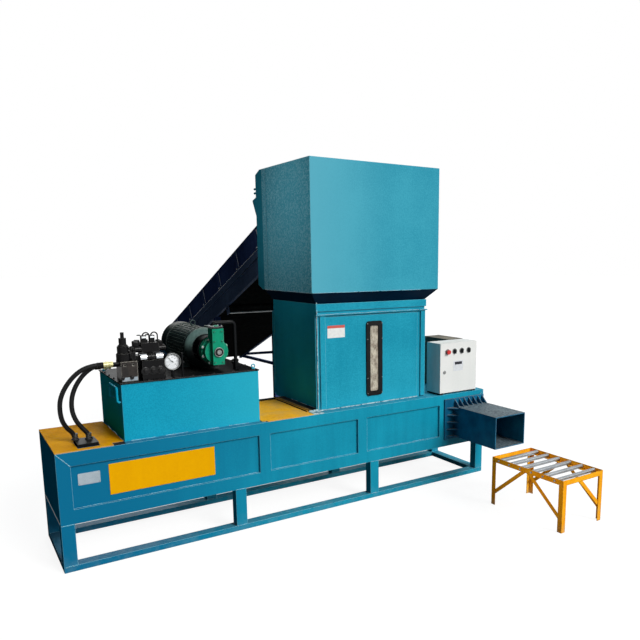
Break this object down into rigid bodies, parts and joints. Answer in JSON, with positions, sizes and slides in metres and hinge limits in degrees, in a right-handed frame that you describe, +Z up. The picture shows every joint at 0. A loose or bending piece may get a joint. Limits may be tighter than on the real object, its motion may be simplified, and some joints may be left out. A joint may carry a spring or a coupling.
{
  "type": "square baler",
  "caption": "Twin-ram hydraulic square baler with tall feed hopper, cleated infeed conveyor, power pack, control cabinet and bagging outlet with roller table",
  "frame": {"origin": "middle of the front floor rail's underside, half way along the bed", "axes": "+X along the bed from the ram's base to the outlet, +Y from the operator's side to the conveyor's low end, +Z up from the floor"},
  "size_m": [3.66, 5.7296, 2.76],
  "materials": {
    "teal_paint": "gloss",
    "dark_teal_paint": "gloss",
    "bare_steel": "satin",
    "yellow_paint": "gloss",
    "orange_paint": "gloss",
    "black_paint": "satin",
    "rod_chrome": "polished",
    "rubber_seal": "matte",
    "window_glass": "dusty",
    "duct_paint": "satin",
    "cabinet_paint": "powder coat",
    "red_plastic": "gloss",
    "black_plastic": "matte",
    "grey_paint": "powder coat",
    "motor_paint": "satin",
    "green_paint": "gloss",
    "manifold_steel": "machined",
    "gauge_steel": "satin",
    "fitting_brass": "zinc yellow",
    "navy_paint": "satin",
    "belt_rubber": "matte",
    "gear_paint": "satin"
  },
  "bodies": {
    "baler": {"undercarriage": "teal_paint", "front_wall": "teal_paint", "rear_wall": "teal_paint", "bed_floor": "bare_steel", "top_deck": "teal_paint", "left_cover": "yellow_paint", "right_cover": "yellow_paint", "main_barrel": "black_paint", "bag_barrel": "black_paint", "tower_shell": "teal_paint", "window_frame": "rubber_seal", "window_pane": "window_glass", "taper_ring": "dark_teal_paint", "hopper_shell": "teal_paint", "hopper_pan": "teal_paint", "outlet_duct": "duct_paint", "outlet_flange": "duct_paint", "table_frame": "orange_paint", "cabinet_body": "cabinet_paint", "base_strips": "black_paint", "starter_box": "grey_paint", "tank_body": "teal_paint", "tank_cover": "black_paint", "motor_body": "motor_paint", "motor_cowl": "motor_paint", "bell_housing": "black_paint", "pump": "green_paint", "valve_manifold": "manifold_steel", "valve_bank": "black_paint", "gauge_body": "gauge_steel", "pipes": "black_paint", "hose_fittings": "fitting_brass", "hose_outer": "rubber_seal", "hose_inner": "rubber_seal", "conveyor_frame": "navy_paint", "sideboards": "navy_paint", "conveyor_belt": "belt_rubber", "conveyor_legs": "navy_paint", "gear_motor": "gear_paint"},
    "main_ram": {"main_ram": "bare_steel", "main_rod": "rod_chrome"},
    "bagging_ram": {"bag_pusher": "bare_steel", "bag_rod": "rod_chrome"},
    "cabinet_door": {"cabinet_door": "cabinet_paint"},
    "door_lock": {"door_lock": "bare_steel"},
    "stop_button": {"stop_button": "red_plastic"},
    "selector_1": {"selector_1": "black_plastic"},
    "selector_2": {"selector_2": "black_plastic"},
    "selector_3": {"selector_3": "black_plastic"},
    "gauge_needle": {"gauge_needle": "black_paint"},
    "motor_rotor": {"motor_rotor": "bare_steel"},
    "head_pulley": {"head_pulley": "bare_steel"},
    "tail_pulley": {"tail_pulley": "bare_steel"},
    "return_roller": {"return_roller": "belt_rubber"},
    "table_roller_1": {"table_roller_1": "bare_steel"},
    "table_roller_2": {"table_roller_2": "bare_steel"},
    "table_roller_3": {"table_roller_3": "bare_steel"},
    "table_roller_4": {"table_roller_4": "bare_steel"},
    "table_roller_5": {"table_roller_5": "bare_steel"},
    "table_roller_6": {"table_roller_6": "bare_steel"}
  },
  "joints": [
    {"name": "main_ram_slide", "type": "slide", "parent": "baler", "child": "main_ram", "axis": [1, 0, 0], "range_m": [0, 1.355]},
    {"name": "bagging_ram_slide", "type": "slide", "parent": "baler", "child": "bagging_ram", "axis": [0, -1, 0], "range_m": [0, 1.18]},
    {"name": "cabinet_door_hinge", "type": "hinge", "parent": "baler", "child": "cabinet_door", "pos_m": [1.737, -0.022, 1.04], "axis": [0, 0, 1], "range_deg": [0, 105]},
    {"name": "door_lock_turn", "type": "hinge", "parent": "cabinet_door", "child": "door_lock", "pos_m": [1.351, -0.04, 1.005], "axis": [0, 1, 0], "range_deg": [0, 90]},
    {"name": "stop_button_press", "type": "slide", "parent": "cabinet_door", "child": "stop_button", "axis": [0, 1, 0], "range_m": [0, 0.008], "stiffness_N_per_m": 400},
    {"name": "selector_1_turn", "type": "hinge", "parent": "cabinet_door", "child": "selector_1", "pos_m": [1.466, -0.04, 1.187], "axis": [0, 1, 0], "range_deg": [-45, 45]},
    {"name": "selector_2_turn", "type": "hinge", "parent": "cabinet_door", "child": "selector_2", "pos_m": [1.55, -0.04, 1.187], "axis": [0, 1, 0], "range_deg": [-45, 45]},
    {"name": "selector_3_turn", "type": "hinge", "parent": "cabinet_door", "child": "selector_3", "pos_m": [1.634, -0.04, 1.187], "axis": [0, 1, 0], "range_deg": [-45, 45]},
    {"name": "gauge_needle_turn", "type": "hinge", "parent": "baler", "child": "gauge_needle", "pos_m": [-1.031, 0.064, 1.307], "axis": [0, 1, 0], "range_deg": [0, 270]},
    {"name": "motor_rotor_spin", "type": "hinge", "parent": "baler", "child": "motor_rotor", "pos_m": [-0.71, 0.46, 1.352], "axis": [0, 1, 0], "continuous": true},
    {"name": "head_pulley_spin", "type": "hinge", "parent": "baler", "child": "head_pulley", "pos_m": [0.65, 0.64, 2.176], "axis": [1, 0, 0], "continuous": true},
    {"name": "tail_pulley_spin", "type": "hinge", "parent": "baler", "child": "tail_pulley", "pos_m": [0.65, 4.1633, 0.75249], "axis": [1, 0, 0], "continuous": true},
    {"name": "return_roller_spin", "type": "hinge", "parent": "baler", "child": "return_roller", "pos_m": [0.65, 1.97244, 1.50975], "axis": [1, 0, 0], "continuous": true},
    {"name": "table_roller_1_spin", "type": "hinge", "parent": "baler", "child": "table_roller_1", "pos_m": [1.537, -0.787, 0.386], "axis": [1, 0, 0], "continuous": true},
    {"name": "table_roller_2_spin", "type": "hinge", "parent": "baler", "child": "table_roller_2", "pos_m": [1.537, -0.902, 0.386], "axis": [1, 0, 0], "continuous": true},
    {"name": "table_roller_3_spin", "type": "hinge", "parent": "baler", "child": "table_roller_3", "pos_m": [1.537, -1.017, 0.386], "axis": [1, 0, 0], "continuous": true},
    {"name": "table_roller_4_spin", "type": "hinge", "parent": "baler", "child": "table_roller_4", "pos_m": [1.537, -1.132, 0.386], "axis": [1, 0, 0], "continuous": true},
    {"name": "table_roller_5_spin", "type": "hinge", "parent": "baler", "child": "table_roller_5", "pos_m": [1.537, -1.247, 0.386], "axis": [1, 0, 0], "continuous": true},
    {"name": "table_roller_6_spin", "type": "hinge", "parent": "baler", "child": "table_roller_6", "pos_m": [1.537, -1.362, 0.386], "axis": [1, 0, 0], "continuous": true}
  ],
  "couplings": [
    {"joint": "tail_pulley_spin", "follows": "head_pulley_spin", "ratio": 1},
    {"joint": "return_roller_spin", "follows": "head_pulley_spin", "ratio": -2.9433}
  ]
}
